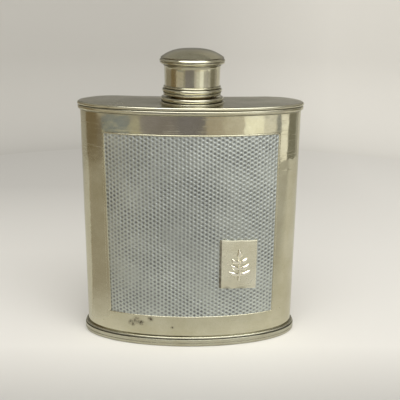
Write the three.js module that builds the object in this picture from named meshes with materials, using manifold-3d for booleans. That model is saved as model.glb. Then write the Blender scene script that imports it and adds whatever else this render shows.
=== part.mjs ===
// Hip flask with a screw cap, in millimetres, +Z up.
// The origin is the middle of the underside. The convex front faces -Y and the hollow back faces +Y.
import * as THREE from 'three';
import { mergeVertices } from 'three/addons/utils/BufferGeometryUtils.js';
import Module from 'manifold-3d';

const wasm = await Module();
wasm.setup();

// ---------------------------------------------------------------- driving dimensions

// Plan of the plates at the top and base. The front is half an ellipse, the back is a shallow hollow
// arc between two round shoulders.
const width = 100;
const depth = 36.8;
const frontBulge = 20.9;
const shoulderRadius = 15;
const backHollow = 2.7;

// Heights above the table.
const topHeight = 109.7;
const basePlateHeight = 1.4;
const baseBandHeight = 3.3;
const baseBeadHeight = 4.6;
const topPlateThickness = 1.5;
const topBeadHeight = 1.7;

// The wall stands inside the edge of the plates, and the base spreads past the plan.
const overhang = 1.15;
const baseSpread = 0.4;
const wallThickness = 0.8;

// Gaps where two pieces would touch.
const sheetGap = 0.1;
const ringGap = 0.15;
const turnedGap = 0.3;

// The neck and the cap share one centre line, a little right of the middle.
const centreLine = 0.5;

// Textured panel on the front, and the small plate on it, which was cut a little out of square.
const panelCentreX = 0.3;
const panelWidth = 77.2;
const panelBottom = 13.9;
const panelTop = 98.2;
const panelThickness = 0.5;
const panelCornerRadius = 2;
const cartoucheCentreX = 21.6;
const cartoucheWidth = 16.2;
const cartoucheBottom = 28.1;
const cartoucheTop = 51.1;
const cartoucheDrop = 1;
const cartoucheThickness = 0.7;
const ornamentHeight = 15;
const ornamentThickness = 0.45;

// Neck and its thread. Heights here and in the cap are measured from the top plate's upper face.
const boreRadius = 7.3;
const neckRadius = 8.6;
const neckThreadRadius = 9.5;
const neckDepth = 4;
const neckHeight = 14.6;
const pitch = 3;
const neckThreadStart = 4.4;
const neckThreadTurns = 2.9;
const collarRadius = 13.7;
const flangeRadius = 14.2;

// Screw cap.
const bushRadius = 10.85;
const bushThreadRootRadius = 9.9;
const bushThreadCrestRadius = 9;
const bushBottom = 3.7;
const bushTop = 14.7;
const bandBottom = 3.5;
const bandTop = 16.3;
const bandInnerRadius = 11.15;
const bandLowRadius = 11.75;
const bandRadius = 11.9;
const bandTopRadius = 12.6;
const footRadius = 13.1;
const rimBottom = 16.5;
const rimTop = 19.05;
const rimRadius = 14.2;
const rimInnerRadius = 12;
const domeRadius = 13.7;
const domeTop = 22.9;
const domeThickness = 0.8;
const sealRadius = 10.6;
const sealBottom = 15;
const sealThickness = 2;
const discRadius = 11.6;
const discThickness = 0.7;

// Number of flat facets along the round stretches.
const frontFacets = 20;
const shoulderFacets = 5;
const backFacets = 6;
const turnedFacets = 36;
const threadFacetsPerTurn = 24;

// ---------------------------------------------------------------- worked-out sizes

const halfWidth = width / 2;
const widestY = frontBulge - depth / 2;
const wallBottom = basePlateHeight + ringGap;
const wallTop = topHeight - topPlateThickness - ringGap;
const panelInside = -overhang + sheetGap;
const panelOutside = panelInside + panelThickness;
const cartoucheInside = panelOutside + sheetGap;
const cartoucheOutside = cartoucheInside + cartoucheThickness;
const ringInside = -overhang + ringGap;

// ---------------------------------------------------------------- plan outline

// Stations round the plan, anticlockwise from above, each with its outward normal.
function makeStations() {
  const stations = [];
  const add = (x, y, nx, ny) => {
    stations.push({ point: new THREE.Vector2(x, y), normal: new THREE.Vector2(nx, ny).normalize() });
  };

  for (let i = 0; i <= frontFacets; i++) {
    const angle = Math.PI + (Math.PI * i) / frontFacets;
    const c = Math.cos(angle);
    const s = Math.sin(angle);
    add(halfWidth * c, widestY + frontBulge * s, frontBulge * c, halfWidth * s);
  }

  // The hollow arc touches both shoulder circles, so its centre lies on a line through theirs.
  const shoulderX = halfWidth - shoulderRadius;
  const shoulderY = depth / 2 - shoulderRadius;
  const backRadius = (shoulderX * shoulderX) / (2 * backHollow);
  const backCentreY = shoulderY + Math.sqrt((backRadius + shoulderRadius) ** 2 - shoulderX ** 2);
  const meeting = Math.atan2(backCentreY - shoulderY, -shoulderX);

  // Each shoulder has one station at its furthest point back.
  const shoulderAngles = [];
  for (let i = 0; i <= shoulderFacets; i++) {
    shoulderAngles.push(((Math.PI / 2) * i) / shoulderFacets);
  }
  shoulderAngles.push(meeting);
  for (const angle of shoulderAngles) {
    const c = Math.cos(angle);
    const s = Math.sin(angle);
    add(shoulderX + shoulderRadius * c, shoulderY + shoulderRadius * s, c, s);
  }
  const halfSweep = Math.PI / 2 - Math.atan2(backCentreY - shoulderY, shoulderX);
  for (let i = 1; i < backFacets; i++) {
    const angle = -Math.PI / 2 + halfSweep * (1 - (2 * i) / backFacets);
    const c = Math.cos(angle);
    const s = Math.sin(angle);
    add(backRadius * c, backCentreY + backRadius * s, -c, -s);
  }
  for (const angle of shoulderAngles.reverse()) {
    const c = Math.cos(angle);
    const s = Math.sin(angle);
    add(-shoulderX - shoulderRadius * c, shoulderY + shoulderRadius * s, -c, s);
  }
  return stations;
}

const stations = makeStations();

// Point of the front curve at x, moved outwards by an offset.
function frontPoint(x, offset) {
  const c = x / halfWidth;
  const s = -Math.sqrt(1 - c * c);
  const normal = new THREE.Vector2(frontBulge * c, halfWidth * s).normalize();
  return new THREE.Vector2(x, widestY + frontBulge * s).addScaledVector(normal, offset);
}

// ---------------------------------------------------------------- shape builders

function geometryFrom(positions, indices) {
  const geometry = new THREE.BufferGeometry();
  geometry.setAttribute('position', new THREE.Float32BufferAttribute(positions, 3));
  geometry.setIndex(indices);
  return geometry;
}

// One ring of points per profile point [offset from the plan, height], with faces between the rings.
function planRings(profile, closed) {
  const positions = [];
  const indices = [];
  const count = stations.length;
  for (const [offset, z] of profile) {
    for (const { point, normal } of stations) {
      positions.push(point.x + normal.x * offset, point.y + normal.y * offset, z);
    }
  }
  const bands = closed ? profile.length : profile.length - 1;
  for (let j = 0; j < bands; j++) {
    const low = j * count;
    const high = ((j + 1) % profile.length) * count;
    for (let i = 0; i < count; i++) {
      const next = (i + 1) % count;
      indices.push(low + i, low + next, high + next, low + i, high + next, high + i);
    }
  }
  return { positions, indices };
}

// A ring that follows the plan. Its profile runs up the outside and down the inside.
function planRing(profile) {
  const { positions, indices } = planRings(profile, true);
  return geometryFrom(positions, indices);
}

// A solid plate that follows the plan. Its profile runs up the edge.
function planPlate(profile) {
  const { positions, indices } = planRings(profile, false);
  const count = stations.length;
  const outline = stations.map(({ point }) => point);
  const top = (profile.length - 1) * count;
  for (const [a, b, c] of THREE.ShapeUtils.triangulateShape(outline, [])) {
    indices.push(a, c, b, top + a, top + b, top + c);
  }
  return geometryFrom(positions, indices);
}

// A thin sheet that follows the front curve from xStart to xEnd.
function frontSheet(xStart, xEnd, inside, outside, bottom, top, steps) {
  const outer = [];
  const inner = [];
  for (let i = 0; i <= steps; i++) {
    const x = xStart + ((xEnd - xStart) * i) / steps;
    outer.push(frontPoint(x, outside));
    inner.unshift(frontPoint(x, inside));
  }
  const sheet = new THREE.ExtrudeGeometry(new THREE.Shape([...outer, ...inner]), {
    depth: top - bottom,
    bevelEnabled: false,
  });
  sheet.translate(0, 0, bottom);
  return sheet;
}

// A turned piece on the neck's axis. Its profile of [radius, height] runs up the outside, and heights
// are above the top plate.
function turned(profile) {
  const points = profile.map(([radius, z]) => new THREE.Vector2(radius, z));
  const lathe = new THREE.LatheGeometry(points, turnedFacets);
  lathe.rotateX(Math.PI / 2);
  return lathe;
}

// Points of a half-round bead between two heights, bulging from one radius to another.
function bead(radius, bulge, bottom, top, steps = 4) {
  const points = [];
  for (let i = 0; i <= steps; i++) {
    const angle = -Math.PI / 2 + (Math.PI * i) / steps;
    const z = (bottom + top) / 2 + ((top - bottom) / 2) * Math.sin(angle);
    points.push([radius + bulge * Math.cos(angle), z]);
  }
  return points;
}

// A right-handed helical ridge. Its section is a trapezium from innerRadius to outerRadius, and over
// the first and last eighth of a turn its crest fades into the surface.
function threadRidge(innerRadius, innerWidth, outerRadius, outerWidth, start, turns, crestIsOuter) {
  const positions = [];
  const indices = [];
  const steps = Math.round(threadFacetsPerTurn * turns);
  const fadeSteps = threadFacetsPerTurn / 8;
  for (let i = 0; i <= steps; i++) {
    const angle = (2 * Math.PI * i) / threadFacetsPerTurn;
    const z = start + (pitch * i) / threadFacetsPerTurn;
    const fade = Math.min(1, Math.min(i, steps - i) / fadeSteps);
    const reach = (outerRadius - innerRadius) * (0.2 + 0.8 * fade);
    const inner = crestIsOuter ? innerRadius : outerRadius - reach;
    const outer = crestIsOuter ? innerRadius + reach : outerRadius;
    const section = [
      [inner, -innerWidth / 2],
      [outer, -outerWidth / 2],
      [outer, outerWidth / 2],
      [inner, innerWidth / 2],
    ];
    for (const [radius, rise] of section) {
      positions.push(radius * Math.cos(angle), radius * Math.sin(angle), z + rise);
    }
  }
  for (let i = 0; i < steps; i++) {
    for (let j = 0; j < 4; j++) {
      const here = i * 4 + j;
      const beside = i * 4 + ((j + 1) % 4);
      indices.push(here, here + 4, beside + 4, here, beside + 4, beside);
    }
  }
  const end = steps * 4;
  indices.push(0, 1, 2, 0, 2, 3, end, end + 2, end + 1, end, end + 3, end + 2);
  return geometryFrom(positions, indices);
}

// ---------------------------------------------------------------- joining and cutting

function toManifold(geometry) {
  const bare = geometry.clone();
  bare.deleteAttribute('normal');
  bare.deleteAttribute('uv');
  const merged = mergeVertices(bare, 1e-4);
  return new wasm.Manifold(new wasm.Mesh({
    numProp: 3,
    vertProperties: new Float32Array(merged.attributes.position.array),
    triVerts: new Uint32Array(merged.index.array),
  }));
}

function fromManifold(solid) {
  const { vertProperties, triVerts } = solid.getMesh();
  return geometryFrom(Array.from(vertProperties), Array.from(triVerts));
}

function joined(...geometries) {
  return fromManifold(geometries.map(toManifold).reduce((whole, next) => whole.add(next)));
}

function common(first, second) {
  return fromManifold(toManifold(first).intersect(toManifold(second)));
}

function cut(whole, tool) {
  return fromManifold(toManifold(whole).subtract(toManifold(tool)));
}

// ---------------------------------------------------------------- pieces of the body

// The wall is a front and a back sheet, which meet at the flask's widest place.
function wallSheet(isFront) {
  const inside = -overhang - wallThickness;
  const tube = planRing([[-overhang, wallBottom], [-overhang, wallTop], [inside, wallTop], [inside, wallBottom]]);
  const half = new THREE.BoxGeometry(2 * width, depth, 2 * topHeight);
  const shift = (depth + sheetGap) / 2;
  half.translate(0, widestY + (isFront ? -shift : shift), 0);
  return common(tube, half);
}

// The top plate's edge is a half-round nosing. The neck passes through its hole.
function topPlate() {
  const nosing = bead(-0.6, 0.6, topHeight - topPlateThickness, topHeight);
  const hole = new THREE.CylinderGeometry(
    neckRadius + turnedGap, neckRadius + turnedGap, 4 * topPlateThickness, turnedFacets,
  );
  hole.rotateX(Math.PI / 2);
  hole.translate(centreLine, 0, topHeight - topPlateThickness / 2);
  return cut(planPlate(nosing), hole);
}

function topBead() {
  const top = topHeight - topPlateThickness - ringGap;
  const bottom = top - topBeadHeight;
  return planRing([...bead(-0.75, 0.6, bottom, top), [ringInside, top], [ringInside, bottom]]);
}

// The base plate has a rounded lower edge and a flat underside.
function basePlate() {
  const edgeRadius = 0.5;
  const centre = baseSpread - edgeRadius;
  const profile = [];
  for (let i = 0; i <= 3; i++) {
    const angle = -Math.PI / 2 + (Math.PI / 2) * (i / 3);
    profile.push([centre + edgeRadius * Math.cos(angle), edgeRadius + edgeRadius * Math.sin(angle)]);
  }
  return planPlate([...profile, [baseSpread, basePlateHeight]]);
}

// The base band steps in halfway up.
function baseBand() {
  const bottom = basePlateHeight + ringGap;
  const stepHeight = (bottom + baseBandHeight) / 2;
  const stepDepth = 0.15;
  return planRing([
    [baseSpread, bottom],
    [baseSpread, stepHeight],
    [baseSpread - stepDepth, stepHeight + stepDepth],
    [baseSpread - stepDepth, baseBandHeight],
    [ringInside, baseBandHeight],
    [ringInside, bottom],
  ]);
}

function baseBead() {
  const bottom = baseBandHeight + ringGap;
  return planRing([
    ...bead(-0.75, 0.75, bottom, baseBeadHeight),
    [ringInside, baseBeadHeight],
    [ringInside, bottom],
  ]);
}

// A rounded rectangle seen from the front, as deep as the flask, that trims a sheet's corners.
function cornerTrim(xMiddle, sheetWidth, bottom, top, radius) {
  const left = xMiddle - sheetWidth / 2;
  const right = xMiddle + sheetWidth / 2;
  const shape = new THREE.Shape();
  shape.moveTo(left + radius, bottom);
  shape.lineTo(right - radius, bottom);
  shape.absarc(right - radius, bottom + radius, radius, -Math.PI / 2, 0);
  shape.lineTo(right, top - radius);
  shape.absarc(right - radius, top - radius, radius, 0, Math.PI / 2);
  shape.lineTo(left + radius, top);
  shape.absarc(left + radius, top - radius, radius, Math.PI / 2, Math.PI);
  shape.lineTo(left, bottom + radius);
  shape.absarc(left + radius, bottom + radius, radius, Math.PI, 1.5 * Math.PI);
  const block = new THREE.ExtrudeGeometry(shape, { depth, bevelEnabled: false, curveSegments: 4 });
  block.rotateX(Math.PI / 2);
  return block;
}

function frontPanel() {
  const half = panelWidth / 2;
  const sheet = frontSheet(
    panelCentreX - half, panelCentreX + half, panelInside, panelOutside, panelBottom, panelTop, 14,
  );
  return common(sheet, cornerTrim(panelCentreX, panelWidth, panelBottom, panelTop, panelCornerRadius));
}

// The small plate's top and bottom edges fall towards the right.
function cartouchePlate() {
  const half = cartoucheWidth / 2;
  const sheet = frontSheet(
    cartoucheCentreX - half, cartoucheCentreX + half,
    cartoucheInside, cartoucheOutside, cartoucheBottom, cartoucheTop, 4,
  );
  const slope = cartoucheDrop / cartoucheWidth;
  const skew = new THREE.Matrix4().makeShear(0, -slope, 0, 0, 0, 0);
  sheet.translate(-cartoucheCentreX, 0, 0);
  sheet.applyMatrix4(skew);
  sheet.translate(cartoucheCentreX, 0, 0);
  return sheet;
}

// One pointed leaf of unit length along +X, scaled and turned to its place on the stem.
function leaf(length, angle, x, y) {
  const shape = new THREE.Shape();
  shape.moveTo(0, 0);
  shape.quadraticCurveTo(0.4, 0.42, 1, 0);
  shape.quadraticCurveTo(0.4, -0.42, 0, 0);
  const solid = new THREE.ExtrudeGeometry(shape, {
    depth: ornamentThickness,
    bevelEnabled: false,
    curveSegments: 5,
  });
  solid.scale(length, length, 1);
  solid.rotateZ(angle);
  solid.translate(x, y, 0);
  return solid;
}

// A sprig: a tapering stem with leaves in pairs and one at the tip. It lies flat, facing +Z.
function sprigOrnament() {
  const stemLength = ornamentHeight * 0.72;
  const stemWidth = 1;
  const bottom = -ornamentHeight / 2;
  const stemShape = new THREE.Shape();
  stemShape.moveTo(-stemWidth / 2, bottom);
  stemShape.lineTo(stemWidth / 2, bottom);
  stemShape.lineTo(stemWidth / 4, bottom + stemLength);
  stemShape.lineTo(-stemWidth / 4, bottom + stemLength);
  const stem = new THREE.ExtrudeGeometry(stemShape, { depth: ornamentThickness, bevelEnabled: false });
  const leaves = [leaf(ornamentHeight * 0.3, Math.PI / 2, 0, bottom + stemLength - 0.3)];
  const pairs = 3;
  for (let i = 0; i < pairs; i++) {
    const y = bottom + stemLength * (0.25 + 0.25 * i);
    const length = ornamentHeight * (0.33 - 0.03 * i);
    for (const side of [-1, 1]) {
      leaves.push(leaf(length, Math.PI / 2 + side * 0.95, 0, y));
    }
  }
  return joined(stem, ...leaves);
}

// ---------------------------------------------------------------- pieces of the neck

function neckTube() {
  const tube = turned([
    [neckRadius, -neckDepth],
    [neckRadius, neckHeight],
    [boreRadius, neckHeight],
    [boreRadius, -neckDepth],
    [neckRadius, -neckDepth],
  ]);
  const buried = 0.3;
  const ridge = threadRidge(
    neckRadius - buried, 1.3, neckThreadRadius, 0.6, neckThreadStart, neckThreadTurns, true,
  );
  return joined(tube, ridge);
}

// A thin flange with a round bead on it.
function neckCollar() {
  const inside = neckRadius + turnedGap;
  const bottom = ringGap;
  const flangeTop = 0.85;
  const beadTop = 2.7;
  return turned([
    [inside, bottom],
    [flangeRadius, bottom],
    [flangeRadius, flangeTop],
    ...bead(collarRadius - 0.7, 0.7, flangeTop, beadTop),
    [inside, beadTop],
    [inside, bottom],
  ]);
}

// ---------------------------------------------------------------- pieces of the cap

function capThreadBush() {
  const bush = turned([
    [bushRadius, bushBottom],
    [bushRadius, bushTop],
    [bushThreadRootRadius, bushTop],
    [bushThreadRootRadius, bushBottom],
    [bushRadius, bushBottom],
  ]);
  const buried = 0.3;
  const ridge = threadRidge(
    bushThreadCrestRadius, 0.6, bushThreadRootRadius + buried, 1.3, neckThreadStart + pitch / 2, 2.4, false,
  );
  return joined(bush, ridge);
}

// The band is straight inside the foot ring, then flares a little towards the rim.
function capBand() {
  const footTop = 7.4;
  return turned([
    [bandInnerRadius, bandBottom],
    [bandLowRadius, bandBottom],
    [bandLowRadius, footTop],
    [bandRadius, footTop + 0.1],
    [bandRadius + 0.15, (footTop + bandTop) / 2],
    [bandRadius + 0.35, bandTop - 1.6],
    [bandTopRadius, bandTop],
    [bandInnerRadius + 0.3, bandTop],
    [bandInnerRadius, bandTop - 1.2],
    [bandInnerRadius, bandBottom],
  ]);
}

// From below: a small fillet, the main bead, a groove and a second fillet.
function capFootRing() {
  const inside = bandLowRadius + 0.25;
  const bottom = 3.4;
  const top = 7.3;
  return turned([
    [inside, bottom],
    [footRadius - 0.6, bottom],
    [footRadius - 0.35, bottom + 0.9],
    ...bead(footRadius - 0.5, 0.5, bottom + 1, bottom + 2.8),
    [footRadius - 0.9, bottom + 2.95],
    [footRadius - 0.6, top - 0.7],
    [footRadius - 0.6, top - 0.3],
    [footRadius - 0.9, top],
    [inside, top],
    [inside, bottom],
  ]);
}

// A lower bead and a larger upper one, with a groove between them.
function capRim() {
  const grooveHeight = rimBottom + 1;
  return turned([
    [rimInnerRadius, rimBottom],
    ...bead(rimRadius - 0.8, 0.5, rimBottom, grooveHeight - 0.1),
    ...bead(rimRadius - 0.7, 0.7, grooveHeight + 0.1, rimTop),
    [rimInnerRadius, rimTop],
    [rimInnerRadius, rimBottom],
  ]);
}

// The dome is a thin shell with an open underside: flat in the middle and steep at its edge.
function capDome() {
  const bottom = rimTop + ringGap;
  const rise = domeTop - bottom;
  const steps = 8;
  const outer = [];
  const inner = [];
  for (let i = 0; i <= steps; i++) {
    const share = Math.sin((Math.PI / 2) * (i / steps));
    const height = (1 - share ** 2.8) ** 0.75;
    outer.unshift([domeRadius * share, bottom + rise * height]);
    inner.push([domeRadius * 0.9 * share, bottom + (rise - domeThickness) * height]);
  }
  return turned([...outer, ...inner, outer[0]]);
}

function capInnerDisc() {
  const bottom = sealBottom + sealThickness + turnedGap;
  const top = bottom + discThickness;
  return turned([[0, bottom], [discRadius, bottom], [discRadius, top], [0, top]]);
}

function corkSeal() {
  const top = sealBottom + sealThickness;
  return turned([[0, sealBottom], [sealRadius, sealBottom], [sealRadius, top], [0, top]]);
}

// ---------------------------------------------------------------- the assembly

const metals = {
  polished: { color: 0xa8a48f, roughness: 0.25, metalness: 1 },
  panel: { color: 0x8d979b, roughness: 0.5, metalness: 1 },
  brass: { color: 0xa58a55, roughness: 0.4, metalness: 1 },
  cork: { color: 0xa87b4f, roughness: 0.9, metalness: 0 },
};

function piece(name, geometry, finish) {
  const mesh = new THREE.Mesh(geometry, new THREE.MeshStandardMaterial(metals[finish]));
  mesh.name = name;
  return mesh;
}

const group = new THREE.Group();
group.add(
  piece('wall_front', wallSheet(true), 'polished'),
  piece('wall_back', wallSheet(false), 'polished'),
  piece('front_panel', frontPanel(), 'panel'),
  piece('cartouche_plate', cartouchePlate(), 'polished'),
  piece('top_plate', topPlate(), 'polished'),
  piece('top_bead', topBead(), 'polished'),
  piece('base_plate', basePlate(), 'polished'),
  piece('base_band', baseBand(), 'polished'),
  piece('base_bead', baseBead(), 'polished'),
);

// The ornament stands on the small plate, square to it.
const ornament = piece('sprig_ornament', sprigOrnament(), 'polished');
const seat = frontPoint(cartoucheCentreX, cartoucheOutside + ringGap);
const facing = frontPoint(cartoucheCentreX, cartoucheOutside + 1).sub(seat);
ornament.position.set(seat.x, seat.y, (cartoucheBottom + cartoucheTop) / 2);
ornament.rotation.set(Math.PI / 2, Math.atan2(facing.x, -facing.y), 0, 'ZXY');
group.add(ornament);

// Everything that is round about the neck hangs in one group on the neck's axis.
const neckAxis = new THREE.Group();
neckAxis.position.set(centreLine, 0, topHeight);
neckAxis.add(
  piece('neck_tube', neckTube(), 'brass'),
  piece('neck_collar', neckCollar(), 'polished'),
  piece('cap_thread_bush', capThreadBush(), 'brass'),
  piece('cap_band', capBand(), 'polished'),
  piece('cap_foot_ring', capFootRing(), 'polished'),
  piece('cap_rim', capRim(), 'polished'),
  piece('cap_dome', capDome(), 'polished'),
  piece('cap_inner_disc', capInnerDisc(), 'brass'),
  piece('cork_seal', corkSeal(), 'cork'),
);
group.add(neckAxis);

export default group;
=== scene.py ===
"""Hip flask: the looks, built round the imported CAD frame. Lengths are in metres."""

from math import atan2, copysign, cos, exp, pi, radians, sin, sqrt

import bmesh
import bpy
import numpy as np
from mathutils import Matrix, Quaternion, Vector
from mathutils.noise import noise


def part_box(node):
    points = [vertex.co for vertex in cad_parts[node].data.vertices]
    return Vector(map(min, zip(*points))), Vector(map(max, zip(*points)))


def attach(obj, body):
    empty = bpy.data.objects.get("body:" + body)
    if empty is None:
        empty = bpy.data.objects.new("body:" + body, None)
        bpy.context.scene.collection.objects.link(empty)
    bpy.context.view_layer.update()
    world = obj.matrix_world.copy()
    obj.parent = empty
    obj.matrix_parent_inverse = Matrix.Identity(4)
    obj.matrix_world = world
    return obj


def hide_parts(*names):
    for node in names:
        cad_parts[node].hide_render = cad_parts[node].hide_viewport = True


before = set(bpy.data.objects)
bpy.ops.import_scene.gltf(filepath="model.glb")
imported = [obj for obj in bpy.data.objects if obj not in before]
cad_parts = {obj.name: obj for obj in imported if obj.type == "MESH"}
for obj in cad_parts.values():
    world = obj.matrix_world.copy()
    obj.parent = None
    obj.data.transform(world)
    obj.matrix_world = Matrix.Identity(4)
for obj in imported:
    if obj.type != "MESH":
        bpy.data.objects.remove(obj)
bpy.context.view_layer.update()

MM = 0.001
scene = bpy.context.scene

# ---- sizes read from the frame

BASE_LOW, BASE_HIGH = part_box("base_plate")
WALL_LOW, WALL_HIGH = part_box("wall_front")
TOP_LOW, TOP_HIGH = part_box("top_plate")
COLLAR_LOW, COLLAR_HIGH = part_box("neck_collar")
PANEL_LOW, PANEL_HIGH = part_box("front_panel")
PLATE_LOW, PLATE_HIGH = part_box("cartouche_plate")

HALF_WIDTH = (TOP_HIGH.x - TOP_LOW.x) / 2
DEPTH = TOP_HIGH.y - TOP_LOW.y
OVERHANG = TOP_HIGH.x - WALL_HIGH.x
BASE_SPREAD = BASE_HIGH.x - TOP_HIGH.x
NECK_X = (COLLAR_LOW.x + COLLAR_HIGH.x) / 2
TOP_Z = TOP_HIGH.z

# The plan's own shape: half an ellipse in front, a shallow hollow between round shoulders behind.
FRONT_BULGE = 20.9 * MM
SHOULDER_RADIUS = 15 * MM
BACK_HOLLOW = 2.7 * MM
WALL_THICKNESS = 0.8 * MM

PLAN_STATIONS = 420
SEGMENTS = 160
STAGE_SEGMENTS = 96
# Directions round small round shapes: the dimples, the leaves and the stem.
SIDES = 12
SPOKES = [(cos(2 * pi * k / SIDES), sin(2 * pi * k / SIDES)) for k in range(SIDES)]

# Offsets from the plan: the wall's outside, the mouldings' hidden backs and the base's outer face.
WALL_FACE = -OVERHANG
MOULDING_BACK = -OVERHANG - 0.02 * MM
BASE_FACE = BASE_SPREAD - 0.02 * MM
BASE_OVERLAP = 0.1 * MM
BEAD_RIPPLE = 0.03 * MM
# A turned disc stops this far from its axis, in millimetres.
AXIS_GAP = 0.02

# ---- plan curve


def arc(centre, radius_x, radius_y, start, end, inward=False, count=500):
    """Points and normals along an elliptical arc, as rows of x, y, nx, ny."""
    t = np.linspace(start, end, count)
    x = centre[0] + radius_x * np.cos(t)
    y = centre[1] + radius_y * np.sin(t)
    nx, ny = radius_y * np.cos(t), radius_x * np.sin(t)
    length = np.hypot(nx, ny) * (-1 if inward else 1)
    return np.column_stack([x, y, nx / length, ny / length])


def plan_curve():
    """The plates' outline, anticlockwise from the middle of the back."""
    widest_y = FRONT_BULGE - DEPTH / 2
    r = SHOULDER_RADIUS
    shoulder_x = HALF_WIDTH - r
    shoulder_y = DEPTH / 2 - r
    back_radius = shoulder_x**2 / (2 * BACK_HOLLOW)
    reach = sqrt((back_radius + r) ** 2 - shoulder_x**2)
    back_centre = (0, shoulder_y + reach)
    half_sweep = atan2(shoulder_x, reach)
    meeting = pi / 2 + half_sweep
    straight_down = -pi / 2
    return np.vstack([
        arc(back_centre, back_radius, back_radius, straight_down, straight_down - half_sweep, True),
        arc((-shoulder_x, shoulder_y), r, r, pi - meeting, pi),
        arc((0, widest_y), HALF_WIDTH, FRONT_BULGE, pi, 2 * pi, count=2000),
        arc((shoulder_x, shoulder_y), r, r, 0, meeting),
        arc(back_centre, back_radius, back_radius, straight_down + half_sweep, straight_down, True),
    ])


def lengths_along(curve):
    """The distance from the curve's start to each of its points."""
    step = np.hypot(*np.diff(curve[:, :2], axis=0).T)
    return np.concatenate([[0], np.cumsum(step)])


def evenly(curve, count):
    """The closed curve at an even spacing."""
    along = lengths_along(curve)
    at = np.arange(count) / count * along[-1]
    out = np.column_stack([np.interp(at, along, curve[:, k]) for k in range(4)])
    out[:, 2:] /= np.hypot(out[:, 2], out[:, 3])[:, None]
    return out


def front_table():
    """The front curve with its distance from the middle, along the curve, in the first column."""
    curve = arc((0, FRONT_BULGE - DEPTH / 2), HALF_WIDTH, FRONT_BULGE, pi, 2 * pi, count=4001)
    along = lengths_along(curve)
    return np.column_stack([along - along[-1] / 2, curve])


PLAN = evenly(plan_curve(), PLAN_STATIONS)
FRONT = front_table()


def plan_ring(offset, z):
    """One ring of points round the plan."""
    ring = np.empty((len(PLAN), 3))
    ring[:, :2] = PLAN[:, :2] + PLAN[:, 2:] * offset
    ring[:, 2] = z
    return ring


def front_points(along, offset, z):
    """Points on the front, from the distance along the curve, the height and the offset from the plan."""
    along, offset, z = np.broadcast_arrays(along, offset, z)
    x, y, nx, ny = (np.interp(along, FRONT[:, 0], FRONT[:, k]) for k in (1, 2, 3, 4))
    length = np.hypot(nx, ny)
    return np.stack([x + nx / length * offset, y + ny / length * offset, z], -1)


def along_at(x, offset=0.0):
    """Distance along the front curve where a sheet at that offset reaches x."""
    return np.interp(x, FRONT[:, 1] + FRONT[:, 3] * offset, FRONT[:, 0])


# ---- profiles


def corners(side, level, rows):
    """Corners at offsets from one place of a profile, each with its rounding, all in millimetres."""
    return [(side + a * MM, level + b * MM, radius * MM) for a, b, radius in rows]


def rounded(outline, steps=4):
    """A closed outline of (a, b, radius) corners, each rounded."""
    points = []
    for i, (a, b, radius) in enumerate(outline):
        here = np.array([a, b])
        if radius == 0:
            points.append(here)
            continue
        ends = []
        for beside in (outline[i - 1], outline[(i + 1) % len(outline)]):
            side = np.array(beside[:2]) - here
            length = np.linalg.norm(side)
            ends.append(here + side / length * min(radius, 0.48 * length))
        start, end = ends
        for t in np.linspace(0, 1, steps + 1):
            points.append((1 - t) ** 2 * start + 2 * t * (1 - t) * here + t * t * end)
    return np.array(points)


def bead(inner, bulge, bottom, top, steps=12):
    """A half-round bead between two heights."""
    angle = np.linspace(-pi / 2, pi / 2, steps + 1)
    z = (bottom + top) / 2 + (top - bottom) / 2 * np.sin(angle)
    return np.column_stack([inner + bulge * np.cos(angle), z])


# ---- mesh builders


def loft(rings, closed):
    """Vertices and faces of a surface through equal rings. Its ends are filled unless it closes on itself."""
    count = len(rings[0])
    vertices = np.vstack(rings)
    faces = []
    for j in range(len(rings) if closed else len(rings) - 1):
        low = j * count
        high = (j + 1) % len(rings) * count
        for i in range(count):
            k = (i + 1) % count
            faces.append((low + i, low + k, high + k, high + i))
    if not closed:
        faces.append(tuple(reversed(range(count))))
        faces.append(tuple(range(len(vertices) - count, len(vertices))))
    return vertices, faces


def new_mesh(name, vertices, faces):
    mesh = bpy.data.meshes.new(name)
    mesh.from_pydata(vertices, [], faces)
    return mesh


def linked(name, data):
    """A new object in the scene."""
    item = bpy.data.objects.new(name, data)
    scene.collection.objects.link(item)
    return item


def add_object(name, mesh, material, nodes, body="flask", sharp_degrees=40):
    """Links a mesh as a piece that rides on a body and stands for the CAD nodes."""
    mesh.materials.append(material)
    mesh.polygons.foreach_set("use_smooth", [True] * len(mesh.polygons))
    mesh.set_sharp_from_angle(angle=radians(sharp_degrees))
    piece = linked(name, mesh)
    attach(piece, body)
    if nodes:
        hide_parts(*nodes)
    return piece


def add_piece(name, shape, material, nodes=(), body="flask"):
    """A piece from vertices and faces, with doubled points merged and its faces turned outward."""
    vertices, faces = shape
    mesh = new_mesh(name, vertices.tolist(), faces)
    shell = bmesh.new()
    shell.from_mesh(mesh)
    bmesh.ops.remove_doubles(shell, verts=shell.verts, dist=1e-7)
    bmesh.ops.recalc_face_normals(shell, faces=shell.faces)
    shell.to_mesh(mesh)
    shell.free()
    return add_object(name, mesh, material, nodes, body)


def plan_piece(name, profile, material, nodes, ripple=0.0):
    """A ring round the plan, from a closed profile of (offset, height)."""
    rings = [rippled(plan_ring(offset, z), ripple) for offset, z in profile]
    return add_piece(name, loft(rings, True), material, nodes)


def circle(radius, z, centre_x, count=SEGMENTS):
    """A ring of points round an upright axis."""
    angle = np.arange(count) / count * 2 * pi
    return np.column_stack([centre_x + radius * np.cos(angle), radius * np.sin(angle), np.full(count, z)])


def turned_piece(name, profile, material, nodes, body="cap"):
    """A piece turned about the neck's axis, from a profile of (radius, height above the top plate)."""
    rings = [circle(radius, TOP_Z + height, NECK_X) for radius, height in profile]
    return add_piece(name, loft(rings, True), material, nodes, body)


def heights_of(node):
    """Where a CAD node starts and ends above the top plate."""
    low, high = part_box(node)
    return low.z - TOP_Z, high.z - TOP_Z


def radius_of(node):
    low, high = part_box(node)
    return (high.x - low.x) / 2


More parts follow.
